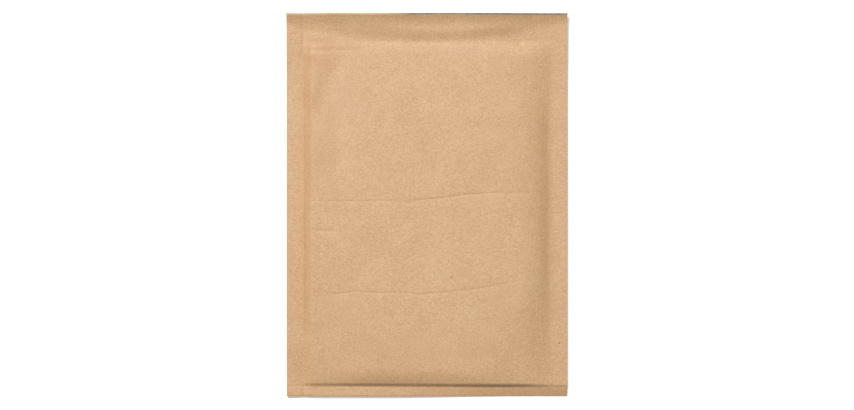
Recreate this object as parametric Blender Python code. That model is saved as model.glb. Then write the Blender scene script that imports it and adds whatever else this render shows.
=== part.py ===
"""Padded mailing envelope of brown kraft paper, empty and unsealed, lying on its folded flap.

X runs across the envelope, +Y towards the folded flap, +Z up out of the plain address side.
The origin is on the surface it lies on, under the middle of its outline. Units are metres.
"""

import math

import bmesh
import bpy

# Outline of the closed envelope
WIDTH = 0.200
HEIGHT = 0.273
SIDE_SEAM = 0.0131
BOTTOM_SEAM = 0.0074
BOTTOM_SEAM_TAPER = 0.0008
MOUTH_STRIP = 0.026

# Paper, the film glued into its seams, and the bubble film that pads each panel. Where a lining has
# less than the snug room, its clearances shrink with the room.
PAPER = 0.0002
SEAM_FILM = 0.0002
LINING_THICKNESS = 0.0035
POCKET_GAP = 0.0004
CLEARANCE = 0.0003
SNUG_ROOM = 0.0007

# How high the seams lie, and how widely each panel rolls down to them. The right-hand roll is a
# wide one and a tight one together, and both start a little outside the seam.
SEAM_LIFT = 0.0026
LEFT_ROLL = 0.011
RIGHT_ROLL = 0.032
RIGHT_FOOT = 0.0040
RIGHT_TIGHT_ROLL = 0.0125
RIGHT_TIGHT_FOOT = 0.0005
RIGHT_TIGHT_SHARE = 0.40
BOTTOM_ROLL = 0.026
BOTTOM_WALL = 0.0026
BOTTOM_WALL_SHARE = 0.38
MOUTH_ROLL = 0.011
UNDER_ROLL = 0.014
PAD_CROWN = 0.0003

# The padding thins towards the four corners, where most of its height is the wall at the seam
CORNER_REACH = 0.045
CORNER_WALL_SHARE = 0.75
BOTTOM_CORNER_LOSS = 0.67
BOTTOM_CORNER_RUN = 0.080
MOUTH_CORNER_LOSS = 0.50
MOUTH_CORNER_RUN = 0.060

# The bottom seam hangs down to the table at its right-hand end
SEAM_DROOP = 0.0026
DROOP_START = -0.030
DROOP_END = 0.080
DROOP_FADE = 0.001

# The unlined mouth strip: its crown, the bowed buckle across it and its curled edge. The buckle is
# wide on the left and narrow on the right, where it fades out.
MOUTH_CROWN = 0.0035
MOUTH_CROWN_RUN = 0.060
MOUTH_GAP = 0.0010
MOUTH_LOOSE = 0.0070
BUCKLE_HEIGHT = 0.0024
BUCKLE_SIDE_LOSS = 0.0008
BUCKLE_MIDDLE = 0.0166
BUCKLE_BOW = 0.0125
BUCKLE_WIDE_RUN = 0.0130
BUCKLE_NARROW_RUN = 0.0070
BUCKLE_NARROWS_FROM = -0.075
BUCKLE_NARROWS_TO = 0.005
BUCKLE_FADE = 0.70
BUCKLE_FADES_FROM = 0.050
BUCKLE_FADES_TO = 0.080
EDGE_CURL = 0.0036
EDGE_CURL_SIDE_LOSS = 0.0022
EDGE_CURL_RUN = 0.0110
EDGE_CURL_RUN_LOSS = 0.0050

# The flap, which carries on from the address side and folds under the other panel
FLAP_LENGTH = 0.050
FLAP_LANDING = 0.020
FOLD_DEPTH = 0.0010
FOLD_HEIGHT = 0.0024
FOLD_STEPS = 6
MOUTH_SETBACK = 0.0010
FLAP_STEP_RUN = 0.012

# Peel-and-seal closure on the inner face of the flap
ADHESIVE_WIDTH = 0.020
ADHESIVE_THICKNESS = 0.0001
ADHESIVE_INSET = 0.008
LINER_OVERHANG = 0.0025
LINER_THICKNESS = 0.0001
CLOSURE_SIDE_INSET = 0.0010

# Two creases pressed across the address side: how high each starts at the left, and between
# which places it climbs towards the right
LOWER_CREASE = 0.0742
UPPER_CREASE = 0.1394
CREASE_CLIMB = 0.0070
CLIMB_START = -0.008
CLIMB_END = 0.056
CREASE_LEFT_INSET = 0.018
CREASE_RIGHT_INSET = 0.027
CREASE_DEPTH = 0.00035
CREASE_HALF_WIDTH = 0.0016
CREASE_FADE = 0.010
CREASE_BEND_RUN = 0.022

# Largest facets of the curved paper
LONG_STEP = 0.0150
CROSS_STEP = 0.0145
SEAM_STEP = 0.0066
MOUTH_STEP = 0.0021
SHARP_EDGE = math.radians(35)

LINED_LENGTH = HEIGHT - MOUTH_STRIP
MOUTH_EDGE = HEIGHT - FOLD_DEPTH - MOUTH_SETBACK
SEAM_THICKNESS = 2 * PAPER + SEAM_FILM
SEAM_TOP = SEAM_LIFT + SEAM_THICKNESS
PAD_TOP = 2 * (PAPER + CLEARANCE + LINING_THICKNESS) + POCKET_GAP
ADHESIVE_SEAT = PAPER + CLEARANCE
LINER_SEAT = ADHESIVE_SEAT + ADHESIVE_THICKNESS + CLEARANCE
CLOSURE_STACK = LINER_SEAT + LINER_THICKNESS + CLEARANCE

MATERIALS = {
    "kraft_paper": {"colour": (0.686, 0.440, 0.253, 1.0), "roughness": 0.82},
    "bubble_film": {"colour": (0.86, 0.88, 0.88, 1.0), "roughness": 0.25},
    "adhesive": {"colour": (0.88, 0.80, 0.55, 1.0), "roughness": 0.35},
    "silicone_paper": {"colour": (0.93, 0.93, 0.91, 1.0), "roughness": 0.40},
}


def clear_scene():
    for obj in list(bpy.data.objects):
        bpy.data.objects.remove(obj, do_unlink=True)


def material(name):
    found = bpy.data.materials.get(name)
    if found:
        return found
    made = bpy.data.materials.new(name)
    made.use_nodes = True
    shader = made.node_tree.nodes["Principled BSDF"]
    shader.inputs["Base Color"].default_value = MATERIALS[name]["colour"]
    shader.inputs["Roughness"].default_value = MATERIALS[name]["roughness"]
    shader.inputs["Metallic"].default_value = 0.0
    return made


def mix(low, high, share):
    return low + (high - low) * share


def eased(share):
    """0 to 1 with a soft start and a soft end."""
    t = min(max(share, 0.0), 1.0)
    return t * t * (3.0 - 2.0 * t)


def rolled(distance, run):
    """Share of the full height that taut paper has reached at a distance in from its seam."""
    t = min(max(distance / run, 0.0), 1.0)
    return 1.0 - (1.0 - t) ** 2


def swelled(distance, run):
    """The same for looser paper. It rises with a soft foot and is steepest at a quarter of the run."""
    t = min(max(distance / run, 0.0), 1.0)
    return 1.0 - (1.0 - t) ** 4 * (1.0 + 4.0 * t)


def from_left_seam(x):
    return x + WIDTH / 2 - SIDE_SEAM


def from_right_seam(x):
    return WIDTH / 2 - SIDE_SEAM - x


def from_nearer_seam(x):
    return min(from_left_seam(x), from_right_seam(x))


def side_roll(x):
    """Share of the full height across the address side."""
    wide = swelled(from_right_seam(x) + RIGHT_FOOT, RIGHT_ROLL)
    tight = swelled(from_right_seam(x) + RIGHT_TIGHT_FOOT, RIGHT_TIGHT_ROLL)
    return rolled(from_left_seam(x), LEFT_ROLL) * mix(wide, tight, RIGHT_TIGHT_SHARE)


def mouth_crown(x):
    return eased(from_nearer_seam(x) / MOUTH_CROWN_RUN)


def corner(x):
    """1 along the side seams, and 0 from the reach of a corner inwards."""
    return 1.0 - eased(from_nearer_seam(x) / CORNER_REACH)


def seam_taper(x):
    """How much the bottom seam has narrowed on the way to the right."""
    return BOTTOM_SEAM_TAPER * (x / WIDTH + 0.5)


def bottom_roll(x, rise):
    """The pad rolls down over a long run, then drops as a short steep wall onto the bottom seam."""
    inside = rise - BOTTOM_SEAM + seam_taper(x)
    share = mix(BOTTOM_WALL_SHARE, CORNER_WALL_SHARE, corner(x))
    height = mix(rolled(inside - BOTTOM_WALL / 2, BOTTOM_ROLL), eased(inside / BOTTOM_WALL), share)
    return height * (1.0 - BOTTOM_CORNER_LOSS * corner(x) * (1.0 - eased(inside / BOTTOM_CORNER_RUN)))


def mouth_end(x, back):
    """The pad is a little thinner at the two corners by the mouth."""
    loss = 1.0 - eased((back - MOUTH_STRIP) / MOUTH_CORNER_RUN)
    return 1.0 - MOUTH_CORNER_LOSS * corner(x) * loss


def crease_climb(x):
    return CREASE_CLIMB * eased((x - CLIMB_START) / (CLIMB_END - CLIMB_START))


def crease_valley(x, rise):
    """Depth of the pressed creases, as V-shaped valleys that fade out at both ends."""
    left = x + WIDTH / 2 - CREASE_LEFT_INSET
    right = WIDTH / 2 - CREASE_RIGHT_INSET - x
    depth = CREASE_DEPTH * eased(left / CREASE_FADE) * eased(right / CREASE_FADE)
    near = min(abs(rise - start - crease_climb(x)) for start in (LOWER_CREASE, UPPER_CREASE))
    return depth * max(1.0 - near / CREASE_HALF_WIDTH, 0.0)


def seam_top(x, rise):
    """Upper face of the flat glued seams. The bottom one droops towards its right-hand corner."""
    low = min(max(1.0 - rise / (BOTTOM_SEAM + DROOP_FADE), 0.0), 1.0)
    right = eased((x - DROOP_START) / (DROOP_END - DROOP_START))
    return SEAM_TOP - SEAM_DROOP * low * right


def buckle(x, back):
    """The step up to the bowed buckle, then the curl of the folded edge. back is the way in from the fold."""
    aside = (2.0 * x / WIDTH) ** 2
    middle = BUCKLE_MIDDLE - BUCKLE_BOW * aside
    narrow = eased((x - BUCKLE_NARROWS_FROM) / (BUCKLE_NARROWS_TO - BUCKLE_NARROWS_FROM))
    run = mix(BUCKLE_WIDE_RUN, BUCKLE_NARROW_RUN, narrow)
    faded = BUCKLE_FADE * eased((x - BUCKLE_FADES_FROM) / (BUCKLE_FADES_TO - BUCKLE_FADES_FROM))
    height = (BUCKLE_HEIGHT - BUCKLE_SIDE_LOSS * aside) * (1.0 - faded)
    curl = max(1.0 - back / (EDGE_CURL_RUN - EDGE_CURL_RUN_LOSS * aside), 0.0) ** 2
    return height * eased((middle + run / 2 - back) / run) + (EDGE_CURL - EDGE_CURL_SIDE_LOSS * aside) * curl


def address_side(x, rise):
    """Outer face of the plain panel, which the camera sees. rise is measured up from the bottom edge."""
    back = HEIGHT - rise
    seam = seam_top(x, rise)
    crown = PAD_CROWN * math.cos(math.pi * x / WIDTH)
    pad = seam + (PAD_TOP - SEAM_TOP + crown) * side_roll(x) * bottom_roll(x, rise) * mouth_end(x, back)
    strip = seam + MOUTH_CROWN * mouth_crown(x)
    lined = rolled(back - MOUTH_STRIP + MOUTH_ROLL / 2, MOUTH_ROLL)
    return mix(strip, pad, lined) + buckle(x, back) - crease_valley(x, rise)


def flap_side(x, rise):
    """Outer face of the panel with the mouth. It lies flat, and steps up over the folded flap."""
    back = HEIGHT - rise
    seam = seam_top(x, rise) - SEAM_THICKNESS
    over_flap = flap_outside(x, back) + CLOSURE_STACK
    rest = over_flap * (1.0 - eased((back - FLAP_LENGTH) / FLAP_STEP_RUN))
    sides = rolled(from_left_seam(x), UNDER_ROLL) * rolled(from_right_seam(x), UNDER_ROLL)
    pad = mix(seam, rest, sides * rolled(rise - BOTTOM_SEAM + seam_taper(x), UNDER_ROLL))
    parting = mix(SEAM_THICKNESS, 2 * PAPER + MOUTH_GAP, mouth_crown(x))
    mouth = address_side(x, rise) - parting
    lined = eased((back - MOUTH_LOOSE) / (MOUTH_STRIP - MOUTH_LOOSE))
    return mix(mouth, pad, lined)


def flap_outside(x, back):
    """Lowest face of the folded flap, from its fold down to where it lies flat."""
    start = address_side(x, HEIGHT - FOLD_DEPTH) - FOLD_HEIGHT
    left = max(1.0 - (back - FOLD_DEPTH) / (FLAP_LANDING - FOLD_DEPTH), 0.0)
    return start * left**2


def upright_thickness(surface, x, rise):
    """Height that a sheet as thick as the paper takes up where it slopes."""
    reach = PAPER
    along = (surface(x, rise + reach) - surface(x, rise - reach)) / (2 * reach)
    across = (surface(x + reach, rise) - surface(x - reach, rise)) / (2 * reach)
    return PAPER * math.sqrt(1.0 + along**2 + across**2)


def address_inside(x, rise):
    return address_side(x, rise) - upright_thickness(address_side, x, rise)


def flap_side_inside(x, rise):
    return flap_side(x, rise) + upright_thickness(flap_side, x, rise)


def between(marks, step):
    """Places at every mark, with even steps no longer than asked for in between."""
    places = []
    for low, high in zip(marks, marks[1:]):
        count = max(1, math.ceil((high - low) / step - 1e-6))
        places += [mix(low, high, n / count) for n in range(count)]
    return places + [marks[-1]]


def columns():
    """Places across the width, close together where the paper rolls down to the side seams."""
    left, right = SIDE_SEAM - WIDTH / 2, WIDTH / 2 - SIDE_SEAM
    pad_left, pad_right = left + LEFT_ROLL, right + RIGHT_FOOT - RIGHT_ROLL
    tight = right + RIGHT_TIGHT_FOOT - RIGHT_TIGHT_ROLL
    seam_left = between([-WIDTH / 2, left], SEAM_STEP)[:-1]
    roll_left = between([left, pad_left], LEFT_ROLL / 4)
    middle = between([pad_left, pad_right], CROSS_STEP)[1:-1]
    wide_roll = between([pad_right, tight], RIGHT_ROLL / 5)
    tight_roll = between([tight, right], RIGHT_TIGHT_ROLL / 5)[1:-1]
    seam_right = between([right, right + RIGHT_FOOT, WIDTH / 2], SEAM_STEP)
    return seam_left + roll_left + middle + wide_roll + tight_roll + seam_right


def rows():
    """Heights above the bottom edge, close together at the bottom wall, the creases and the mouth."""
    wall_top = BOTTOM_SEAM + BOTTOM_WALL
    pad_bottom = wall_top + BOTTOM_ROLL
    roll_top = LINED_LENGTH - MOUTH_ROLL / 2
    creases = [c + side * CREASE_HALF_WIDTH for c in (LOWER_CREASE, UPPER_CREASE) for side in (-1, 0, 1)]
    flap_edge = HEIGHT - FLAP_LENGTH
    marks = sorted([pad_bottom, *creases, flap_edge - FLAP_STEP_RUN, flap_edge, roll_top])
    low = between([0.0, BOTTOM_SEAM], SEAM_STEP)
    wall = between([BOTTOM_SEAM, wall_top], BOTTOM_WALL / 2)[1:-1]
    rolls = between([wall_top, pad_bottom], BOTTOM_ROLL / 4)
    middle = between(marks, LONG_STEP)[1:-1]
    mouth = between([roll_top, LINED_LENGTH, MOUTH_EDGE, HEIGHT - FOLD_DEPTH], MOUTH_STEP)
    return low + wall + rolls + middle + mouth


def follow_creases(x, rise):
    """Bends a row of facets so that the rows at a crease, or at the top of the bottom seam, run along it."""
    near = min(abs(rise - start) for start in (LOWER_CREASE, UPPER_CREASE)) - CREASE_HALF_WIDTH
    climb = crease_climb(x) * max(1.0 - max(near, 0.0) / CREASE_BEND_RUN, 0.0)
    over_seam = max(rise - BOTTOM_SEAM, 0.0) / CREASE_BEND_RUN
    narrowing = seam_taper(x) * max(min(rise / BOTTOM_SEAM, 1.0) - over_seam, 0.0)
    return rise + climb - narrowing


def nearest(places, wanted):
    return min(range(len(places)), key=lambda n: abs(places[n] - wanted))


def new_object(name, mesh, slot):
    obj = bpy.data.objects.new(name, mesh)
    obj.data.materials.append(material(slot))
    bpy.context.scene.collection.objects.link(obj)
    return obj


def finish_mesh(name, slot, skin):
    bmesh.ops.recalc_face_normals(skin, faces=skin.faces)
    mesh = bpy.data.meshes.new(name)
    skin.to_mesh(mesh)
    skin.free()
    mesh.shade_smooth()
    mesh.set_sharp_from_angle(angle=SHARP_EDGE)
    return new_object(name, mesh, slot)


class Skin:
    """A bmesh whose faces are laid between grids of points."""

    def __init__(self):
        self.mesh = bmesh.new()

    def grid(self, place, across, along):
        """Vertices at place(x, y) for each pair, as grid[column][row]."""
        return [[self.mesh.verts.new(place(x, y)) for y in along] for x in across]

    def cover(self, grid, first=0, last=None):
        """Quads over the columns from first to last of a grid."""
        strips = grid[first : (len(grid) if last is None else last + 1)]
        for left, right in zip(strips, strips[1:]):
            for a, b, c, d in zip(left, right, right[1:], left[1:]):
                self.quad(a, b, c, d)

    def bridge(self, one, other):
        """Quads between two lines of as many vertices. Where the lines share a vertex, a triangle."""
        for a, b, c, d in zip(one, one[1:], other[1:], other):
            self.quad(a, b, c, d)

    def close_edges(self, one, other):
        """The four narrow sides between two grids of the same size."""
        for n in (0, -1):
            self.bridge(one[n], other[n])
            self.bridge([column[n] for column in one], [column[n] for column in other])

    def quad(self, *corners):
        distinct = list(dict.fromkeys(corners))
        if len(distinct) > 2:
            self.mesh.faces.new(distinct)


def panel_point(surface):
    """Place on a panel's surface, in the frame whose origin is the middle of the outline."""

    def place(x, rise):
        bent = follow_creases(x, rise)
        return (x, bent - HEIGHT / 2, surface(x, bent))

    return place


def fold_point(x, turn, inset):
    """Place round the flap's fold. turn is 0 on the address side and 1 under the flap."""
    top = address_side(x, HEIGHT - FOLD_DEPTH)
    bottom = flap_outside(x, FOLD_DEPTH)
    angle = math.pi * (0.5 - turn)
    out = (FOLD_DEPTH - inset) * math.cos(angle)
    up = ((top - bottom) / 2 - inset) * math.sin(angle)
    return (x, HEIGHT / 2 - FOLD_DEPTH + out, (top + bottom) / 2 + up)


def kraft_outer(across, along):
    """One sheet, folded at the bottom and glued up both sides. It carries on past the mouth as the flap."""
    skin = Skin()
    left = nearest(across, SIDE_SEAM - WIDTH / 2)
    right = nearest(across, WIDTH / 2 - SIDE_SEAM)
    foot = nearest(along, BOTTOM_SEAM)
    lip = nearest(along, MOUTH_EDGE)

    outside = skin.grid(panel_point(address_side), across, along)
    under = skin.grid(panel_point(flap_side), across, along[: lip + 1])
    skin.cover(outside)
    skin.cover(under)

    # Inner face of the address side: all of it past the mouth, and inside the seams below it.
    # The other panel's inner face meets it along the side seams and the bottom seam.
    def seam_middle(x, rise):
        return (address_side(x, rise) + flap_side(x, rise)) / 2

    ceiling, floor = [], []
    for column, x in enumerate(across):
        upper, lower = {}, {}
        for row in range(foot, len(along)):
            in_pocket = left < column < right and row > foot
            on_seam = left <= column <= right and row <= lip and not in_pocket
            if on_seam:
                point = panel_point(seam_middle)(x, along[row])
                upper[row] = lower[row] = skin.mesh.verts.new(point)
            elif in_pocket or row >= lip:
                upper[row] = skin.mesh.verts.new(panel_point(address_inside)(x, along[row]))
            if in_pocket and row <= lip:
                lower[row] = skin.mesh.verts.new(panel_point(flap_side_inside)(x, along[row]))
        ceiling.append(upper)
        floor.append(lower)

    def cover_pocket(points, first, last):
        for a, b in zip(points, points[1:]):
            for row in range(first, last):
                corners = (a.get(row), b.get(row), b.get(row + 1), a.get(row + 1))
                if None not in corners:
                    skin.quad(*corners)

    cover_pocket(ceiling, foot, len(along) - 1)
    cover_pocket(floor, foot, lip)

    # End of the panel with the mouth: one paper thick over the pocket, two at the seams.
    lip_top = [floor[n].get(lip, ceiling[n][lip]) for n in range(len(across))]
    skin.bridge(lip_top, [column[lip] for column in under])

    # Fold and flap
    turns = [n / FOLD_STEPS for n in range(1, FOLD_STEPS + 1)]
    backs = between([FOLD_DEPTH, FLAP_LANDING], (FLAP_LANDING - FOLD_DEPTH) / 6)[1:] + [FLAP_LENGTH]

    def flap_faces(inset, first_line):
        def place(x, back):
            return (x, HEIGHT / 2 - back, flap_outside(x, back) + inset)

        fold = skin.grid(lambda x, turn: fold_point(x, turn, inset), across, turns)
        flap = skin.grid(place, across, backs)
        lines = [[start, *a, *b] for start, a, b in zip(first_line, fold, flap)]
        skin.cover(lines)
        return lines

    outer_flap = flap_faces(0.0, [column[-1] for column in outside])
    inner_flap = flap_faces(PAPER, [column[len(along) - 1] for column in ceiling])
    skin.bridge([line[-1] for line in outer_flap], [line[-1] for line in inner_flap])

    # Cut edges: the sides of the seams, of the fold and of the flap, and the bottom fold
    for n in (0, -1):
        above = [ceiling[n][row] for row in range(lip, len(along))]
        skin.bridge(outside[n][: lip + 1], under[n])
        skin.quad(outside[n][lip], outside[n][lip + 1], above[1], above[0])
        skin.bridge(outside[n][lip + 1 :], above[1:])
        skin.quad(outside[n][lip], above[0], under[n][lip])
        skin.bridge(outer_flap[n], inner_flap[n])
    skin.bridge([column[0] for column in outside], [column[0] for column in under])
    return finish_mesh("kraft_outer", "kraft_paper", skin.mesh)


def lining(name, across, along, upper, lower):
    """One sheet of bubble film as a pad that thins towards the seams, between two surfaces."""
    skin = Skin()
    left, right = nearest(across, SIDE_SEAM - WIDTH / 2), nearest(across, WIDTH / 2 - SIDE_SEAM)
    first, last = nearest(along, BOTTOM_SEAM + BOTTOM_WALL), nearest(along, LINED_LENGTH)
    inner_across = across[left + 1 : right]
    inner_along = along[first : last + 1]
    top = skin.grid(panel_point(upper), inner_across, inner_along)
    bottom = skin.grid(panel_point(lower), inner_across, inner_along)
    skin.cover(top)
    skin.cover(bottom)
    skin.close_edges(top, bottom)
    return finish_mesh(name, "bubble_film", skin.mesh)


def snug(x, rise, clearance):
    """The clearance, or less of it towards the corners, where the pocket is shallow."""
    room = (address_inside(x, rise) - flap_side_inside(x, rise)) / 2
    return clearance * min(room / SNUG_ROOM, 1.0)


def pocket_middle(x, rise):
    return (address_inside(x, rise) + flap_side_inside(x, rise)) / 2


def address_lining_top(x, rise):
    return address_inside(x, rise) - snug(x, rise, CLEARANCE)


def address_lining_bottom(x, rise):
    return pocket_middle(x, rise) + snug(x, rise, POCKET_GAP / 2)


def flap_lining_top(x, rise):
    return pocket_middle(x, rise) - snug(x, rise, POCKET_GAP / 2)


def flap_lining_bottom(x, rise):
    return flap_side_inside(x, rise) + snug(x, rise, CLEARANCE)


def flap_band(name, slot, width, thickness, from_edge, seat):
    """A strip laid along the flap's inner face, which it follows at the height of its seat."""
    skin = Skin()
    end = WIDTH / 2 - CLOSURE_SIDE_INSET
    back_edge = FLAP_LENGTH - from_edge
    across = between([-end, end], CROSS_STEP)
    backs = between([back_edge - width, back_edge], width / 4)

    def face(height):
        def place(x, back):
            return (x, HEIGHT / 2 - back, flap_outside(x, back) + height)

        return skin.grid(place, across, backs)

    bottom, top = face(seat), face(seat + thickness)
    skin.cover(bottom)
    skin.cover(top)
    skin.close_edges(bottom, top)
    return finish_mesh(name, slot, skin.mesh)


def closure():
    """Adhesive band on the flap and the release paper that covers it until it is sealed."""
    flap_band("adhesive_strip", "adhesive", ADHESIVE_WIDTH, ADHESIVE_THICKNESS, ADHESIVE_INSET, ADHESIVE_SEAT)
    liner_width = ADHESIVE_WIDTH + 2 * LINER_OVERHANG
    liner_inset = ADHESIVE_INSET - LINER_OVERHANG
    flap_band("release_liner", "silicone_paper", liner_width, LINER_THICKNESS, liner_inset, LINER_SEAT)


def main():
    clear_scene()
    across, along = columns(), rows()
    kraft_outer(across, along)
    lining("address_side_lining", across, along, address_lining_top, address_lining_bottom)
    lining("flap_side_lining", across, along, flap_lining_top, flap_lining_bottom)
    closure()


main()
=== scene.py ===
import math

import bmesh
import bpy
import numpy as np
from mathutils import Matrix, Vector, noise


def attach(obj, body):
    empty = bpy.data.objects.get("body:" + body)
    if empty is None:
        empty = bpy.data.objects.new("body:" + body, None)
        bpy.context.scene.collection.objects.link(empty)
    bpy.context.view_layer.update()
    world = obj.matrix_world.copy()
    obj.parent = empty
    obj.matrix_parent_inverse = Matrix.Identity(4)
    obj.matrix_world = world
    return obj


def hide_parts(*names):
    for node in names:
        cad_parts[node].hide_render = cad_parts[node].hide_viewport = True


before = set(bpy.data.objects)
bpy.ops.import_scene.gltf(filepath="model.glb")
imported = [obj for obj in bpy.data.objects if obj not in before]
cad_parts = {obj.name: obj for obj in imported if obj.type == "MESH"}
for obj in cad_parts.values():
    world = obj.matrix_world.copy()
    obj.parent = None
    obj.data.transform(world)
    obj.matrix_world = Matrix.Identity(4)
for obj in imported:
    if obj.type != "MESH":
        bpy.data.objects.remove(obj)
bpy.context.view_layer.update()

# The kraft paper: one machine-made brown sheet, folded at the bottom, glued flat up both sides and
# pressed flat along the bottom. Past the mouth it carries on as the flap, which is folded under.
# Both panels bulge over the padding, whose outline shows, and creases are pressed into the paper.
WIDTH = 0.200
HEIGHT = 0.273
PAPER = 0.0002
SEAM_FILM = 0.0002
SIDE_SEAM = 0.0131
BOTTOM_SEAM = 0.0074
MOUTH_STRIP = 0.026
LINING_THICKNESS = 0.0035
POCKET_GAP = 0.0004
CLEARANCE = 0.0003
SEAM_THICKNESS = 2 * PAPER + SEAM_FILM
SEAM_TOP = 0.0026 + SEAM_THICKNESS
PAD_TOP = 2 * (PAPER + CLEARANCE + LINING_THICKNESS) + POCKET_GAP
FLAP_LENGTH = 0.050
FLAP_LANDING = 0.020
FLAP_STEP_RUN = 0.012
FOLD_DEPTH = 0.0010
FOLD_HEIGHT = 0.0024
MOUTH_SETBACK = 0.0010
ADHESIVE_SEAT = PAPER + CLEARANCE
STRIP_THICKNESS = 0.0001
LINER_SEAT = ADHESIVE_SEAT + STRIP_THICKNESS + CLEARANCE
CLOSURE_STACK = LINER_SEAT + STRIP_THICKNESS + CLEARANCE
BOTTOM_ROUND = 0.0003

# Each crease: places that it passes, across the envelope and above the bottom edge, with the share of
# its depth there, then its depth and how far its flanks run above and below it.
LOWER_CREASE = (
    (-0.0783, 0.0766, 0.4), (-0.0655, 0.0730, 1.0), (-0.0498, 0.0751, 0.9), (-0.0334, 0.0741, 1.0),
    (-0.0156, 0.0744, 0.8), (-0.0049, 0.0730, 1.0), (0.0200, 0.0751, 0.7), (0.0379, 0.0773, 0.9),
    (0.0521, 0.0801, 0.9), (0.0690, 0.0834, 0.5),
)
UPPER_CREASE = (
    (-0.0860, 0.1391, 0.4), (-0.0284, 0.1396, 0.7), (-0.0128, 0.1396, 0.3), (-0.0014, 0.1406, 0.9),
    (0.0093, 0.1414, 1.0), (0.0272, 0.1439, 1.2), (0.0485, 0.1453, 0.8), (0.0800, 0.1457, 0.4),
)
BROKEN_CREASE = ((-0.0235, 0.1384, 1.0), (-0.0030, 0.1382, 1.0))
SHORT_CREASE = ((-0.0875, 0.1188, 1.0), (-0.0620, 0.1178, 0.7))
FILM_EDGE_LEFT = ((-0.0875, 0.2466, 1.0), (-0.0450, 0.2468, 0.4))
FILM_EDGE_RIGHT = ((0.0640, 0.2466, 0.8), (0.0880, 0.2465, 1.0))
PUCKER = ((0.0600, 0.2590, 0.5), (0.0650, 0.2520, 1.0), (0.0730, 0.2462, 0.8))
CREASES = (
    (LOWER_CREASE, 0.00021, 0.0006, 0.0020),
    (UPPER_CREASE, 0.00024, 0.0006, 0.0022),
    (BROKEN_CREASE, 0.00018, 0.0005, 0.0012),
    (SHORT_CREASE, 0.00040, 0.0010, 0.0016),
    (FILM_EDGE_LEFT, 0.00040, 0.0007, 0.0012),
    (FILM_EDGE_RIGHT, 0.00018, 0.0007, 0.0012),
    (PUCKER, 0.00060, 0.0012, 0.0016),
)


def eased(share):
    t = np.clip(share, 0.0, 1.0)
    return t * t * (3.0 - 2.0 * t)


def rolled(distance, run):
    """Rises at once and levels out, as paper does that is pulled tight over an edge."""
    return 1.0 - (1.0 - np.clip(distance / run, 0.0, 1.0)) ** 2


def steep_roll(left):
    """The left-hand roll: the padding starts abruptly there and its edge stands up a little."""
    rise = 1.0 - (1.0 - np.clip((left + 0.0012) / 0.0068, 0.0, 1.0)) ** 1.4
    return rise * (1.0 + 0.09 * np.exp(-np.maximum(left - 0.004, 0.0) / 0.006))


def swelled(distance, run):
    """Rises with a soft foot, is steepest at a quarter of the run, and levels out."""
    t = np.clip(distance / run, 0.0, 1.0)
    return 1.0 - (1.0 - t) ** 4 * (1.0 + 4.0 * t)


def in_from_sides(x):
    return x + WIDTH / 2 - SIDE_SEAM, WIDTH / 2 - SIDE_SEAM - x


def bottom_crease(x):
    """The bottom seam is pressed a little out of square, so it narrows towards the right."""
    return BOTTOM_SEAM - 0.0008 * (x / WIDTH + 0.5)


def mouth_crown(x):
    """How far the mouth strip bows up: 0 at the side seams and 1 along its middle."""
    left, right = in_from_sides(x)
    return np.minimum(rolled(left, 0.040), eased(right / 0.056))


def seam_lift(x, rise):
    """The left-hand seam and both ends of the mouth stand up a little more than the other seams."""
    left = in_from_sides(x)[0]
    left_side = 0.0012 * eased((0.050 - left) / 0.040) * eased((rise - 0.008) / 0.030)
    ends = (0.0014 + 0.0007 * eased(-x / 0.040)) * (1.0 - mouth_crown(x))
    return left_side + ends * eased((rise - HEIGHT + 0.055) / 0.055)


def seam_top(x, rise):
    """Upper face of the flat seams. The bottom one hangs down to the table towards its right-hand end."""
    left, right = in_from_sides(x)
    droop = 0.0026 * eased((x + 0.035) / 0.105) * np.clip(1.0 - rise / (BOTTOM_SEAM + 0.001), 0.0, 1.0)
    groove = 0.0008 * np.exp(-np.abs(left + 0.0012) / 0.0040)
    pressed = 0.00018 * np.exp(-np.abs(rise - bottom_crease(x)) / 0.0006)
    pressed = pressed * (1.0 - eased(np.minimum(left, right) / 0.006))
    return SEAM_TOP - droop - groove - pressed + seam_lift(x, rise)


def mouth_buckle(x, back):
    """The bowed step across the mouth strip, wide at the left, and the curl up to the folded edge."""
    aside, leftward = (2.0 * x / WIDTH) ** 2, eased(-x / 0.040)
    middle = 0.0162 - 0.0120 * aside - 0.0014 * leftward
    run = 0.0100 + 0.0045 * leftward
    height = (0.0016 + 0.0004 * leftward) * (1.0 - 0.6 * eased((x - 0.050) / 0.030))
    step = height * eased((middle + run / 2 - back) / run)
    curl_height = 0.0029 - 0.0009 * aside - 0.0009 * eased((-x - 0.060) / 0.030)
    curl = curl_height * np.maximum(1.0 - back / (0.0110 - 0.0035 * aside), 0.0) ** 2
    return step + curl


def creases(x, rise):
    """Depth of the pressed creases, which fade out at both ends."""
    depth = 0.0
    for places, deep, above, below in CREASES:
        across, rises, shares = zip(*places)
        away = rise - np.interp(x, across, rises)
        flank = np.where(away > 0.0, np.exp(-np.abs(away) / above), np.exp(-np.abs(away) / below))
        ends = eased((x - across[0]) / 0.008) * eased((across[-1] - x) / 0.008)
        depth = depth + deep * np.interp(x, across, shares) * flank * ends
    return depth


def corner_dent(x, rise):
    """Depth of a shallow slanting dent near the upper left-hand corner."""
    left = in_from_sides(x)[0]
    line = -0.0823 + 0.42 * (rise - 0.1956)
    within = eased((rise - 0.165) / 0.025) * eased((0.249 - rise) / 0.020)
    return 0.00050 * np.exp(-(((x - line) / 0.0062) ** 2)) * within * rolled(left, 0.008)


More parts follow.
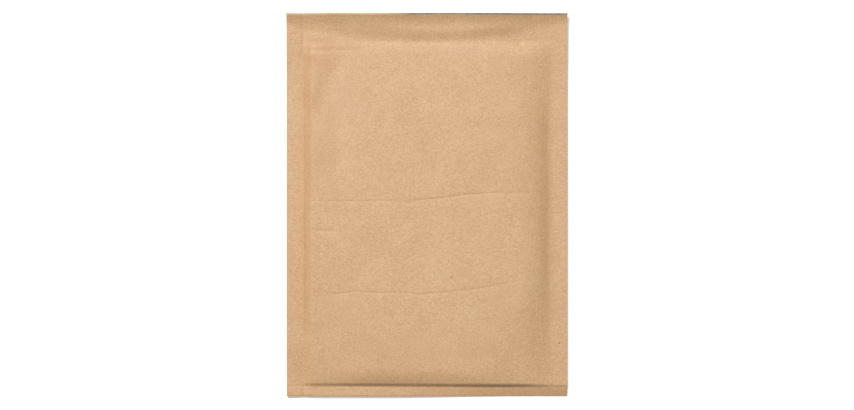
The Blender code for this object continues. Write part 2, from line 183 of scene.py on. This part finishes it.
def cockle(x, rise):
    """Slow unevenness of paper that lies over a lining of air bubbles."""
    flat_x, flat_rise = np.broadcast_arrays(x, rise)
    heights = [
        noise.noise(Vector((34.0 * a, 27.0 * b, 4.7))) + 0.5 * noise.noise(Vector((78.0 * a, 57.0 * b, 9.1)))
        for a, b in zip(flat_x.ravel(), flat_rise.ravel())
    ]
    return 0.00015 * np.array(heights).reshape(flat_x.shape)


def padding(x, rise):
    """Share of the padding's full height: 0 at the seams and 1 where both panels lie full."""
    left, right = in_from_sides(x)
    corner = 1.0 - eased(np.minimum(left, right) / 0.045)
    inside = rise - bottom_crease(x)
    wall = 0.28 + 0.25 * eased((x + 0.020) / 0.080) + 0.20 * corner
    bottom = wall * eased((inside + 0.0005) / 0.0032) + (0.80 - wall) * rolled(inside - 0.0005, 0.0125)
    bottom = bottom + 0.20 * rolled(inside, 0.060)
    bottom = bottom * (1.0 - 0.60 * corner * (1.0 - eased(inside / 0.080)))
    loss = (0.20 + 0.22 * eased(x / 0.040)) * corner
    mouth_end = 1.0 - loss * np.clip(1.0 - (HEIGHT - rise - MOUTH_STRIP) / 0.110, 0.0, 1.0)
    tight = 0.03 + 0.19 * eased((rise - 0.060) / 0.025) * eased((0.225 - rise) / 0.030)
    wide_roll, tight_roll = swelled(right + 0.0040, 0.032), swelled(right + 0.0005, 0.0125)
    return steep_roll(left) * (wide_roll + (tight_roll - wide_roll) * tight) * bottom * mouth_end


def address_side(x, rise):
    """Outer face of the plain panel, over the bottom edge at the height of rise."""
    back = HEIGHT - rise
    seam = seam_top(x, rise)
    full = PAD_TOP + 0.0001 * np.cos(math.pi * x / WIDTH) - SEAM_TOP - seam_lift(x, rise)
    pad = seam + full * padding(x, rise) - corner_dent(x, rise)
    strip = seam + 0.0045 * mouth_crown(x)
    lined = rolled(back - MOUTH_STRIP + 0.0055, 0.0110)
    return strip + (pad - strip) * lined + mouth_buckle(x, back) - creases(x, rise)


def flap_outside(x, back):
    """Lowest face of the flap, from its fold down to where it lies flat."""
    start = address_side(x, HEIGHT - FOLD_DEPTH) - FOLD_HEIGHT
    return start * np.maximum(1.0 - (back - FOLD_DEPTH) / (FLAP_LANDING - FOLD_DEPTH), 0.0) ** 2


def flap_side(x, rise):
    """Outer face of the panel with the mouth. It lies flat and steps up over the folded flap."""
    back = HEIGHT - rise
    left, right = in_from_sides(x)
    over_flap = flap_outside(x, back) + CLOSURE_STACK
    rest = over_flap * (1.0 - eased((back - FLAP_LENGTH) / FLAP_STEP_RUN))
    spread = rolled(left, 0.014) * rolled(right, 0.014) * rolled(rise - bottom_crease(x), 0.014)
    seam = seam_top(x, rise) - SEAM_THICKNESS
    pad = seam + (rest - seam) * spread
    mouth = address_side(x, rise) - (SEAM_THICKNESS + 0.0008 * mouth_crown(x))
    lined = eased((back - 0.007) / (MOUTH_STRIP - 0.007))
    return mouth + (pad - mouth) * lined


def stations(marks):
    """Places from mark to mark. Each mark after the first is (where, longest step on the way there)."""
    places = [marks[0]]
    for where, step in marks[1:]:
        count = max(1, math.ceil(abs(where - places[-1]) / step - 1e-6))
        places += list(np.linspace(places[-1], where, count + 1)[1:])
    return np.array(places)


def sheet_columns():
    seam = WIDTH / 2 - SIDE_SEAM
    return stations([
        -WIDTH / 2, (-seam - 0.004, 0.0023), (-seam - 0.0016, 0.0006), (-seam - 0.0007, 0.00015),
        (-seam + 0.007, 0.0006), (-seam + 0.012, 0.0012),
        (seam - 0.022, 0.0022), (seam - 0.008, 0.0012), (seam + 0.002, 0.0007), (WIDTH / 2, 0.0028),
    ])


def crease_start(places):
    return places[0][1]


def sheet_rows():
    """Heights of the mesh's rows, close together at the mouth, at the long creases and at the bottom seam."""
    coarse = stations([
        HEIGHT - FOLD_DEPTH, (HEIGHT - 0.032, 0.0010), (0.123, 0.0022), (0.114, 0.0009), (0.034, 0.0022),
        (BOTTOM_SEAM + 0.003, 0.0012), (BOTTOM_SEAM - 0.0016, 0.0004), (BOTTOM_ROUND, 0.0018),
    ])
    flanks = np.linspace(-1.0, 1.0, 23)
    flanks = 0.0070 * np.sign(flanks) * np.abs(flanks) ** 1.8
    starts = [crease_start(LOWER_CREASE), crease_start(UPPER_CREASE)]
    clear = [rise for rise in coarse if min(abs(rise - start) for start in starts) > 0.0075]
    close = [start + away for start in starts for away in flanks]
    return sorted([*clear, *close], reverse=True)


def along_creases(x, rise):
    """Bends a row of the mesh so that the rows near a long crease run along it."""
    for places in (LOWER_CREASE, UPPER_CREASE):
        across, rises, shares = zip(*places)
        near = np.clip(1.0 - (abs(rise - crease_start(places)) - 0.008) / 0.020, 0.0, 1.0)
        shift = np.interp(x, across, rises) - crease_start(places)
        if near > 0.0:
            return rise + shift * near
    return np.full_like(x, rise)


def kraft_sheet():
    """Both faces of the folded sheet, followed from the flap's free edge to the mouth's edge."""
    x = sheet_columns()
    lip = HEIGHT - FOLD_DEPTH - MOUTH_SETBACK
    flap_backs = stations([FLAP_LENGTH, (FLAP_LANDING, 0.005), (FOLD_DEPTH, 0.0017)])
    under_rises = stations([
        BOTTOM_ROUND, (BOTTOM_SEAM - 0.001, 0.0035), (BOTTOM_SEAM + 0.001, 0.0005), (0.024, 0.0025),
        (0.205, 0.008), (0.226, 0.003), (lip, 0.0022),
    ])

    lines = [np.stack([x, np.full_like(x, HEIGHT / 2 - b), flap_outside(x, b)], axis=1) for b in flap_backs]
    top, bottom = address_side(x, HEIGHT - FOLD_DEPTH), flap_outside(x, FOLD_DEPTH)
    for turn in np.linspace(-0.5, 0.5, 11)[1:-1] * math.pi:
        out = np.full_like(x, HEIGHT / 2 - FOLD_DEPTH + FOLD_DEPTH * math.cos(turn))
        lines.append(np.stack([x, out, (top + bottom) / 2 + (top - bottom) / 2 * math.sin(turn)], axis=1))
    for rise in sheet_rows():
        along = along_creases(x, rise)
        loose = np.clip(np.minimum(np.minimum(*in_from_sides(x)) / 0.012, rise / 0.030), 0.0, 1.0)
        height = address_side(x, along) + cockle(x, along) * loose
        lines.append(np.stack([x, along - HEIGHT / 2, height], axis=1))
    edge_top, edge_bottom = address_side(x, BOTTOM_ROUND), flap_side(x, BOTTOM_ROUND)
    for turn in np.linspace(0.5, -0.5, 5)[1:-1] * math.pi:
        out = np.full_like(x, BOTTOM_ROUND - BOTTOM_ROUND * math.cos(turn) - HEIGHT / 2)
        middle = (edge_top + edge_bottom) / 2 + (edge_top - edge_bottom) / 2 * math.sin(turn)
        lines.append(np.stack([x, out, middle], axis=1))
    for rise in under_rises:
        lines.append(np.stack([x, np.full_like(x, rise - HEIGHT / 2), flap_side(x, rise)], axis=1))
    sheet = np.array(lines)
    fold_skew = 0.00014 * eased((x - 0.040) / 0.025)
    sheet[:, :, 1] += fold_skew * eased((sheet[:, :, 1] - HEIGHT / 2 + 0.006) / 0.004)
    return sheet


def thick_sheet(name, outer, thickness):
    """A closed mesh whose faces are the outer points and the same points moved in by the thickness."""
    along, across = np.gradient(outer, axis=0), np.gradient(outer, axis=1)
    normal = np.cross(along, across)
    normal /= np.linalg.norm(normal, axis=2, keepdims=True)
    rows, columns = outer.shape[:2]
    points = np.concatenate([outer.reshape(-1, 3), (outer - normal * thickness).reshape(-1, 3)])
    n = np.arange(rows * columns).reshape(rows, columns)
    quads = np.stack([n[:-1, :-1], n[:-1, 1:], n[1:, 1:], n[1:, :-1]], axis=-1).reshape(-1, 4)
    loop = np.concatenate([n[0, :-1], n[:-1, -1], n[-1, :0:-1], n[:0:-1, 0]])
    following = np.roll(loop, -1)
    rim = np.stack([following, loop, loop + rows * columns, following + rows * columns], axis=-1)
    faces = np.concatenate([quads, (quads + rows * columns)[:, ::-1], rim])
    mesh = bpy.data.meshes.new(name)
    mesh.from_pydata(points.tolist(), [], faces.tolist())
    mesh.update()
    work = bmesh.new()
    work.from_mesh(mesh)
    bmesh.ops.recalc_face_normals(work, faces=work.faces)
    work.to_mesh(mesh)
    work.free()
    mesh.shade_smooth()
    mesh.set_sharp_from_angle(angle=math.radians(50))
    made = bpy.data.objects.new(name, mesh)
    bpy.context.scene.collection.objects.link(made)
    return made


# Single dark and pale specks that stand out on the address side: place across the envelope, height
# above the bottom edge, radius and strength
SHIVES = (
    (0.0172, 0.0851, 0.00080, 0.90), (0.0942, 0.0381, 0.00080, 0.85), (0.0656, 0.2369, 0.0005, 0.50),
    (0.0514, 0.1977, 0.0005, 0.45), (0.0835, 0.0438, 0.0005, 0.40), (-0.0505, 0.0438, 0.0005, 0.35),
)
CHIPS = (
    (0.0129, 0.2241, 0.0007, 0.55), (-0.0292, 0.2155, 0.0006, 0.45), (-0.0798, 0.1706, 0.0006, 0.45),
    (0.0022, 0.0723, 0.0006, 0.40),
)


def kraft_paper():
    """Brown kraft: fibres, cloudy formation, painted shade along the left-hand roll and along the folded top
    edge, dark shives and pale chips.
    """
    made = bpy.data.materials.new("kraft_paper")
    made.use_nodes = True
    nodes, links = made.node_tree.nodes, made.node_tree.links
    shader = nodes["Principled BSDF"]
    shader.inputs["Roughness"].default_value = 0.62
    shader.inputs["Specular IOR Level"].default_value = 1.0
    place = nodes.new("ShaderNodeTexCoord").outputs["Object"]
    axes = nodes.new("ShaderNodeSeparateXYZ")
    links.new(place, axes.inputs["Vector"])

    def maths(operation, *values):
        node = nodes.new("ShaderNodeMath")
        node.operation = operation
        for socket, value in zip(node.inputs, values):
            if isinstance(value, float):
                socket.default_value = value
            else:
                links.new(value, socket)
        return node.outputs["Value"]

    def ramp(value, start, end):
        """0 at the start and 1 at the end, with soft ends."""
        node = nodes.new("ShaderNodeMapRange")
        node.interpolation_type = "SMOOTHSTEP"
        node.inputs["From Min"].default_value = start
        node.inputs["From Max"].default_value = end
        links.new(value, node.inputs["Value"])
        return node.outputs["Result"]

    def clouds(scale, detail, roughness=0.5, stretch=(1.0, 1.0)):
        """Noise about zero on the sheet."""
        mapping = nodes.new("ShaderNodeMapping")
        mapping.inputs["Scale"].default_value = (*stretch, 1.0)
        links.new(place, mapping.inputs["Vector"])
        texture = nodes.new("ShaderNodeTexNoise")
        texture.inputs["Scale"].default_value = scale
        texture.inputs["Detail"].default_value = detail
        texture.inputs["Roughness"].default_value = roughness
        links.new(mapping.outputs["Vector"], texture.inputs["Vector"])
        return maths("SUBTRACT", texture.outputs["Fac"], 0.5)

    fibres = clouds(1100.0, 2.0, 0.6, (0.75, 1.3))
    flocks = clouds(300.0, 2.0, 0.5, (0.8, 1.2))
    formation = clouds(70.0, 3.0)
    shade = clouds(9.0, 2.0)
    tone = maths("MULTIPLY_ADD", fibres, 1.55, 0.5)
    tone = maths("MULTIPLY_ADD", flocks, 0.20, tone)
    tone = maths("MULTIPLY_ADD", formation, 0.28, tone)
    tone = maths("MULTIPLY_ADD", shade, 0.16, tone)

    x, y, z = axes.outputs["X"], axes.outputs["Y"], axes.outputs["Z"]
    # Painted shade: a dark band about a millimetre wide along the right-hand part of the folded top edge
    # stands in for the shade at the fold.
    fold_shade_mask = maths("MULTIPLY", ramp(y, HEIGHT / 2 - 0.0016, HEIGHT / 2 - 0.0011), ramp(x, -0.035, -0.005))
    painted_fold_shade = maths("MULTIPLY", maths("MULTIPLY_ADD", flocks, 1.2, 0.80), fold_shade_mask)
    # Painted shade: a darker band along the left-hand roll of the padding, on its raised face, in the upper
    # half and strongest just below the mouth strip.
    shaded_roll_band = maths("MULTIPLY", ramp(x, -0.0868, -0.0835), ramp(x, -0.058, -0.074))
    roll_shade_strength = maths("MULTIPLY_ADD", ramp(y, 0.094, 0.106), 0.13, maths("MULTIPLY", ramp(y, 0.0, 0.040), 0.14))
    painted_roll_shade = maths("MULTIPLY", maths("MULTIPLY", shaded_roll_band, roll_shade_strength), ramp(y, 0.121, 0.116))

    dark_fibre, pale_fibre = (0.534, 0.255, 0.097, 1.0), (0.810, 0.555, 0.303, 1.0)
    # The first tint is painted shade at the folded top edge, the second painted shade on the left-hand roll.
    fold_shade_tint, roll_shade_tint = (0.17, 0.13, 0.10, 1.0), (0.47, 0.17, 0.035, 1.0)
    shive, chip = (0.10, 0.055, 0.025, 1.0), (0.96, 0.78, 0.58, 1.0)
    shades = nodes.new("ShaderNodeMix")
    shades.data_type = "RGBA"
    shades.inputs["A"].default_value = dark_fibre
    shades.inputs["B"].default_value = pale_fibre
    links.new(tone, shades.inputs["Factor"])
    colour = shades.outputs["Result"]

    def tinted(under, tint, amount):
        mixed = nodes.new("ShaderNodeMix")
        mixed.data_type = "RGBA"
        links.new(amount, mixed.inputs["Factor"])
        links.new(under, mixed.inputs["A"])
        mixed.inputs["B"].default_value = tint
        return mixed.outputs["Result"]

    def scattered(scale, size, shift):
        """Specks of fibre strewn over the sheet."""
        mapping = nodes.new("ShaderNodeMapping")
        mapping.inputs["Location"].default_value = (shift, shift * 0.37, 0.0)
        mapping.inputs["Scale"].default_value = (1.0, 1.0, 0.0)
        links.new(place, mapping.inputs["Vector"])
        cells = nodes.new("ShaderNodeTexVoronoi")
        cells.inputs["Scale"].default_value = scale
        links.new(mapping.outputs["Vector"], cells.inputs["Vector"])
        return ramp(cells.outputs["Distance"], size, size * 0.4)

    def spot(across, up, radius):
        """One speck at its own place on the address side."""
        aside = maths("SUBTRACT", x, across)
        away = maths("SUBTRACT", y, up - HEIGHT / 2)
        distance = maths("SQRT", maths("ADD", maths("MULTIPLY", aside, aside), maths("MULTIPLY", away, away)))
        return maths("MULTIPLY", ramp(distance, radius, radius * 0.3), ramp(z, 0.0020, 0.0030))

    # Painted shade along the folded top edge.
    colour = tinted(colour, fold_shade_tint, painted_fold_shade)
    # Painted shade on the left-hand roll.
    colour = tinted(colour, roll_shade_tint, maths("MULTIPLY", painted_roll_shade, ramp(z, 0.0030, 0.0045)))
    colour = tinted(colour, shive, maths("MULTIPLY", scattered(22.0, 0.011, 0.3), 0.35))
    colour = tinted(colour, chip, maths("MULTIPLY", scattered(27.0, 0.012, 1.7), 0.35))
    for across, up, radius, strength in SHIVES:
        colour = tinted(colour, shive, maths("MULTIPLY", spot(across, up, radius), strength))
    for across, up, radius, strength in CHIPS:
        colour = tinted(colour, chip, maths("MULTIPLY", spot(across, up, radius), strength))
    links.new(colour, shader.inputs["Base Color"])

    bump = nodes.new("ShaderNodeBump")
    bump.inputs["Strength"].default_value = 0.35
    bump.inputs["Distance"].default_value = 0.0001
    links.new(maths("MULTIPLY_ADD", fibres, 0.5, maths("MULTIPLY", flocks, 0.8)), bump.inputs["Height"])
    links.new(bump.outputs["Normal"], shader.inputs["Normal"])
    return made


kraft = thick_sheet("kraft_sheet", kraft_sheet(), PAPER)
kraft.data.materials.append(kraft_paper())
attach(kraft, "root")
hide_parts("kraft_outer")

# The bubble film linings: one sheet of clear film to each panel, its smooth side towards the pocket
# and its round air bubbles against the paper. The film reaches into the side and bottom seams, where
# it is welded flat. Towards the seams the bubbles are pressed down with the panels.
FILM = 0.00006
INNER_FACE = 1.15 * PAPER
BUBBLE_ACROSS = 0.0096
BUBBLE_HEIGHT = LINING_THICKNESS - 0.0003
BUBBLE_PITCH = 0.0108
ROW_PITCH = BUBBLE_PITCH * 0.866
FIRST_ROW = BOTTOM_SEAM + 0.0075
BUBBLE_CLEARANCE = 0.0002
LEAST_BUBBLE = 0.0006


def kraft_inside(x, rise, above):
    """Inner face of the address side, or of the panel with the mouth."""
    return address_side(x, rise) - INNER_FACE if above else flap_side(x, rise) + INNER_FACE


def film_place(x, rise, above):
    """Place of the smooth film, a little to its own side of the pocket's middle."""
    over, under = kraft_inside(x, rise, True), kraft_inside(x, rise, False)
    gap = np.minimum(POCKET_GAP, 0.25 * (over - under))
    return (over + under) / 2 + (gap if above else -gap) / 2


def film_sheet(name, above):
    """The smooth film as a thin closed sheet, with the room that each spot leaves for a bubble."""
    seam = WIDTH / 2 - SIDE_SEAM
    x = stations([
        -seam - 0.006, (-seam - 0.0012, 0.0012), (-seam + 0.0012, 0.0003), (-seam + 0.007, 0.0006),
        (-seam + 0.015, 0.0015), (seam - 0.022, 0.005),
        (seam, 0.0015), (seam + 0.006, 0.003),
    ])
    lines = []
    for rise in stations([
        BOTTOM_SEAM - 0.004, (BOTTOM_SEAM - 0.0016, 0.0008), (BOTTOM_SEAM + 0.003, 0.0003),
        (0.040, 0.0025), (HEIGHT - 0.060, 0.006), (HEIGHT - MOUTH_STRIP, 0.002),
    ]):
        height = film_place(x, np.full_like(x, rise), above)
        lines.append(np.stack([x, np.full_like(x, rise - HEIGHT / 2), height], axis=1))
    return thick_sheet(name, np.array(lines)[:, ::1 if above else -1], FILM)


def bubble_tree():
    """Lays air bubbles in staggered rows on the film, each as tall as the room it has."""
    tree = bpy.data.node_groups.new("air_bubbles", "GeometryNodeTree")
    tree.interface.new_socket("Film", in_out="INPUT", socket_type="NodeSocketGeometry")
    for name in ("Bubble Across", "Bubble Height"):
        tree.interface.new_socket(name, in_out="INPUT", socket_type="NodeSocketFloat")
    tree.interface.new_socket("Lattice", in_out="INPUT", socket_type="NodeSocketObject")
    tree.interface.new_socket("Film Material", in_out="INPUT", socket_type="NodeSocketMaterial")
    tree.interface.new_socket("Lining", in_out="OUTPUT", socket_type="NodeSocketGeometry")
    nodes, links = tree.nodes, tree.links
    given, made = nodes.new("NodeGroupInput"), nodes.new("NodeGroupOutput")

    ball = nodes.new("GeometryNodeMeshUVSphere")
    ball.inputs["Segments"].default_value = 10
    ball.inputs["Rings"].default_value = 6
    ball.inputs["Radius"].default_value = 1.0
    place = nodes.new("GeometryNodeInputPosition")
    height = nodes.new("ShaderNodeSeparateXYZ")
    links.new(place.outputs["Position"], height.inputs["Vector"])
    lower = nodes.new("FunctionNodeCompare")
    lower.data_type, lower.operation = "FLOAT", "LESS_THAN"
    links.new(height.outputs["Z"], lower.inputs["A"])
    lower.inputs["B"].default_value = -0.01
    dome = nodes.new("GeometryNodeDeleteGeometry")
    links.new(ball.outputs["Mesh"], dome.inputs["Geometry"])
    links.new(lower.outputs["Result"], dome.inputs["Selection"])
    boxed = nodes.new("ShaderNodeMath")
    boxed.operation = "POWER"
    links.new(height.outputs["Z"], boxed.inputs[0])
    boxed.inputs[1].default_value = 0.6
    rebuilt = nodes.new("ShaderNodeCombineXYZ")
    links.new(height.outputs["X"], rebuilt.inputs["X"])
    links.new(height.outputs["Y"], rebuilt.inputs["Y"])
    links.new(boxed.outputs[0], rebuilt.inputs["Z"])
    flattened = nodes.new("GeometryNodeSetPosition")
    links.new(dome.outputs["Geometry"], flattened.inputs["Geometry"])
    links.new(rebuilt.outputs["Vector"], flattened.inputs["Position"])

    lattice = nodes.new("GeometryNodeObjectInfo")
    links.new(given.outputs["Lattice"], lattice.inputs["Object"])
    room = nodes.new("GeometryNodeInputNamedAttribute")
    room.data_type = "FLOAT"
    room.inputs["Name"].default_value = "room"
    radius = nodes.new("ShaderNodeMath")
    radius.operation = "MULTIPLY"
    links.new(given.outputs["Bubble Across"], radius.inputs[0])
    radius.inputs[1].default_value = 0.5
    tall = nodes.new("ShaderNodeMath")
    tall.operation = "MULTIPLY"
    links.new(given.outputs["Bubble Height"], tall.inputs[0])
    links.new(room.outputs["Attribute"], tall.inputs[1])
    size = nodes.new("ShaderNodeCombineXYZ")
    links.new(radius.outputs[0], size.inputs["X"])
    links.new(radius.outputs[0], size.inputs["Y"])
    links.new(tall.outputs[0], size.inputs["Z"])
    laid = nodes.new("GeometryNodeInstanceOnPoints")
    links.new(lattice.outputs["Geometry"], laid.inputs["Points"])
    links.new(flattened.outputs["Geometry"], laid.inputs["Instance"])
    links.new(size.outputs["Vector"], laid.inputs["Scale"])

    together = nodes.new("GeometryNodeJoinGeometry")
    links.new(given.outputs["Film"], together.inputs["Geometry"])
    links.new(laid.outputs["Instances"], together.inputs["Geometry"])
    real = nodes.new("GeometryNodeRealizeInstances")
    links.new(together.outputs["Geometry"], real.inputs["Geometry"])
    smooth = nodes.new("GeometryNodeSetShadeSmooth")
    links.new(real.outputs["Geometry"], smooth.inputs["Geometry"])
    coated = nodes.new("GeometryNodeSetMaterial")
    links.new(smooth.outputs["Geometry"], coated.inputs["Geometry"])
    links.new(given.outputs["Film Material"], coated.inputs["Material"])
    links.new(coated.outputs["Geometry"], made.inputs["Lining"])
    return tree


def clear_film():
    """Clear polyethylene: a faint haze, glossy, with fine stretch marks from the film maker's rollers."""
    made = bpy.data.materials.new("bubble_film")
    made.use_nodes = True
    nodes, links = made.node_tree.nodes, made.node_tree.links
    shader = nodes["Principled BSDF"]
    shader.inputs["Base Color"].default_value = (0.86, 0.89, 0.90, 1.0)
    shader.inputs["Roughness"].default_value = 0.22
    shader.inputs["Alpha"].default_value = 0.42
    place = nodes.new("ShaderNodeTexCoord")
    drawn = nodes.new("ShaderNodeMapping")
    drawn.inputs["Scale"].default_value = (500.0, 60.0, 200.0)
    links.new(place.outputs["Object"], drawn.inputs["Vector"])
    marks = nodes.new("ShaderNodeTexNoise")
    marks.inputs["Scale"].default_value = 1.0
    links.new(drawn.outputs["Vector"], marks.inputs["Vector"])
    bump = nodes.new("ShaderNodeBump")
    bump.inputs["Strength"].default_value = 0.25
    bump.inputs["Distance"].default_value = 0.00005
    links.new(marks.outputs["Fac"], bump.inputs["Height"])
    links.new(bump.outputs["Normal"], shader.inputs["Normal"])
    return made


def bubble_lining(name, above, film):
    """A lining with its bubbles, as one plain mesh."""
    sheet = film_sheet(name + "_film", above)
    points, rooms, turn = [], [], 1.0 if above else -1.0
    rim = BUBBLE_ACROSS / 2
    rows = int((HEIGHT - MOUTH_STRIP - BOTTOM_SEAM) / ROW_PITCH) - 1
    for row in range(rows):
        rise = FIRST_ROW + row * ROW_PITCH
        for x in np.arange(-7.5, 8.0) * BUBBLE_PITCH + (row % 2) * BUBBLE_PITCH / 2:
            if abs(x) > WIDTH / 2 - SIDE_SEAM - rim - 0.0005:
                continue
            reach = ((x, rise), (x - rim, rise), (x + rim, rise), (x, rise - rim), (x, rise + rim))
            film_height = turn * max(turn * float(film_place(a, b, above)) for a, b in reach)
            room = min(turn * (float(kraft_inside(a, b, above)) - film_height) for a, b in reach)
            room -= BUBBLE_CLEARANCE
            if room > LEAST_BUBBLE:
                points.append((x, rise - HEIGHT / 2, film_height + turn * FILM / 2))
                rooms.append(turn * min(room / BUBBLE_HEIGHT, 1.0))
    lattice_mesh = bpy.data.meshes.new(name + "_lattice")
    lattice_mesh.from_pydata(points, [], [])
    lattice_mesh.attributes.new("room", "FLOAT", "POINT").data.foreach_set("value", rooms)
    lattice = bpy.data.objects.new(name + "_lattice", lattice_mesh)
    bpy.context.scene.collection.objects.link(lattice)
    modifier = sheet.modifiers.new("air_bubbles", "NODES")
    modifier.node_group = bubbles
    inputs = {
        "Bubble Across": BUBBLE_ACROSS, "Bubble Height": BUBBLE_HEIGHT,
        "Lattice": lattice, "Film Material": film,
    }
    for socket in bubbles.interface.items_tree:
        if socket.name in inputs:
            modifier[socket.identifier] = inputs[socket.name]
    evaluated = sheet.evaluated_get(bpy.context.evaluated_depsgraph_get())
    mesh = bpy.data.meshes.new_from_object(evaluated)
    mesh.name = name
    lining = bpy.data.objects.new(name, mesh)
    bpy.context.scene.collection.objects.link(lining)
    bpy.data.objects.remove(sheet)
    bpy.data.objects.remove(lattice)
    return lining


bubbles, film = bubble_tree(), clear_film()
for name, node, above in (
    ("address_bubble_film", "address_side_lining", True),
    ("flap_bubble_film", "flap_side_lining", False),
):
    lining = bubble_lining(name, above, film)
    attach(lining, "root")
    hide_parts(node)

# The peel-and-seal closure: a band of pale adhesive coated along the flap's inner face, and the
# white release paper that covers it until the envelope is sealed.
ADHESIVE_FROM_EDGE, ADHESIVE_WIDTH = 0.008, 0.020
LINER_FROM_EDGE, LINER_WIDTH = 0.0055, 0.025
STRIP_SETBACK = 0.001


def flap_band(name, from_edge, width, seat):
    """A thin strip that follows the flap's inner face at the height of its seat."""
    x = np.linspace(-WIDTH / 2 + STRIP_SETBACK, WIDTH / 2 - STRIP_SETBACK, 60)
    lines = []
    for back in np.linspace(FLAP_LENGTH - from_edge - width, FLAP_LENGTH - from_edge, 10):
        height = flap_outside(x, np.full_like(x, back)) + seat + STRIP_THICKNESS
        lines.append(np.stack([x, np.full_like(x, HEIGHT / 2 - back), height], axis=1))
    return thick_sheet(name, np.array(lines)[:, ::-1], STRIP_THICKNESS)


def strip_finish(name, colour, roughness, ripple_scale, ripple):
    """An even, slightly mottled finish with fine ripples."""
    made = bpy.data.materials.new(name)
    made.use_nodes = True
    nodes, links = made.node_tree.nodes, made.node_tree.links
    shader = nodes["Principled BSDF"]
    shader.inputs["Roughness"].default_value = roughness
    place = nodes.new("ShaderNodeTexCoord")
    texture = nodes.new("ShaderNodeTexNoise")
    texture.inputs["Scale"].default_value = ripple_scale
    texture.inputs["Detail"].default_value = 3.0
    links.new(place.outputs["Object"], texture.inputs["Vector"])
    tint = nodes.new("ShaderNodeMix")
    tint.data_type = "RGBA"
    tint.inputs["A"].default_value = (*[c * 0.93 for c in colour], 1.0)
    tint.inputs["B"].default_value = (*colour, 1.0)
    links.new(texture.outputs["Fac"], tint.inputs["Factor"])
    links.new(tint.outputs["Result"], shader.inputs["Base Color"])
    bump = nodes.new("ShaderNodeBump")
    bump.inputs["Strength"].default_value = ripple
    bump.inputs["Distance"].default_value = 0.0001
    links.new(texture.outputs["Fac"], bump.inputs["Height"])
    links.new(bump.outputs["Normal"], shader.inputs["Normal"])
    return made


adhesive = flap_band("adhesive_band", ADHESIVE_FROM_EDGE, ADHESIVE_WIDTH, ADHESIVE_SEAT)
adhesive.data.materials.append(strip_finish("adhesive", (0.88, 0.80, 0.55), 0.30, 400.0, 0.4))
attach(adhesive, "root")
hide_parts("adhesive_strip")

liner = flap_band("release_paper", LINER_FROM_EDGE, LINER_WIDTH, LINER_SEAT)
liner.data.materials.append(strip_finish("silicone_paper", (0.93, 0.93, 0.91), 0.38, 900.0, 0.15))
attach(liner, "root")
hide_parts("release_liner")

# The surface it lies on and the studio: a white table, a large soft lamp at the upper left and an
# even white surround. The camera looks straight down, with a long lens.
FRAME_WIDTH = 0.6087
SEEN_HEIGHT = 0.0035
LENS, SENSOR = 100.0, 36.0
FLOOR_REACH = 6.0
floor_mesh = bpy.data.meshes.new("floor")
corners = [(FLOOR_REACH * a, FLOOR_REACH * b, 0.0) for a, b in ((-1, -1), (1, -1), (1, 1), (-1, 1))]
floor_mesh.from_pydata(corners, [], [(0, 1, 2, 3)])
floor = bpy.data.objects.new("floor", floor_mesh)
bpy.context.scene.collection.objects.link(floor)
floor.location.z = -0.00005
table_top = bpy.data.materials.new("table_top")
table_top.use_nodes = True
nodes, links = table_top.node_tree.nodes, table_top.node_tree.links
table = nodes["Principled BSDF"]
table.inputs["Base Color"].default_value = (0.80, 0.80, 0.80, 1.0)
table.inputs["Roughness"].default_value = 0.9
table.inputs["Emission Color"].default_value = (1.0, 1.0, 1.0, 1.0)
rays = nodes.new("ShaderNodeLightPath")
reflected = nodes.new("ShaderNodeMath")
reflected.operation = "ADD"
links.new(rays.outputs["Is Camera Ray"], reflected.inputs[0])
links.new(rays.outputs["Is Glossy Ray"], reflected.inputs[1])
seen = nodes.new("ShaderNodeMath")
seen.operation = "ADD"
links.new(reflected.outputs[0], seen.inputs[0])
links.new(rays.outputs["Is Transmission Ray"], seen.inputs[1])
glow = nodes.new("ShaderNodeMath")
glow.operation = "MULTIPLY"
glow.inputs[1].default_value = 0.42
links.new(seen.outputs[0], glow.inputs[0])
links.new(glow.outputs[0], table.inputs["Emission Strength"])
floor.data.materials.append(table_top)

world = bpy.data.worlds.new("surround")
world.use_nodes = True
surround = world.node_tree.nodes["Background"]
surround.inputs["Color"].default_value = (1.0, 1.0, 1.0, 1.0)
surround.inputs["Strength"].default_value = 0.10
bpy.context.scene.world = world

lamp_data = bpy.data.lights.new("soft_lamp", "AREA")
lamp_data.shape = "DISK"
lamp_data.size = 1.4
lamp_data.energy = 226.0
lamp = bpy.data.objects.new("soft_lamp", lamp_data)
lamp.location = (-1.12, 2.13, 4.06)
lamp.rotation_mode = "QUATERNION"
lamp.rotation_quaternion = (-Vector(lamp.location)).to_track_quat("-Z", "Y")
bpy.context.scene.collection.objects.link(lamp)

camera_data = bpy.data.cameras.new("camera")
camera_data.lens = LENS
camera_data.sensor_width = SENSOR
camera = bpy.data.objects.new("camera", camera_data)
camera.location = (0.0, 0.0, SEEN_HEIGHT + FRAME_WIDTH * LENS / SENSOR)
bpy.context.scene.collection.objects.link(camera)
bpy.context.scene.camera = camera
bpy.context.scene.view_settings.view_transform = "Standard"
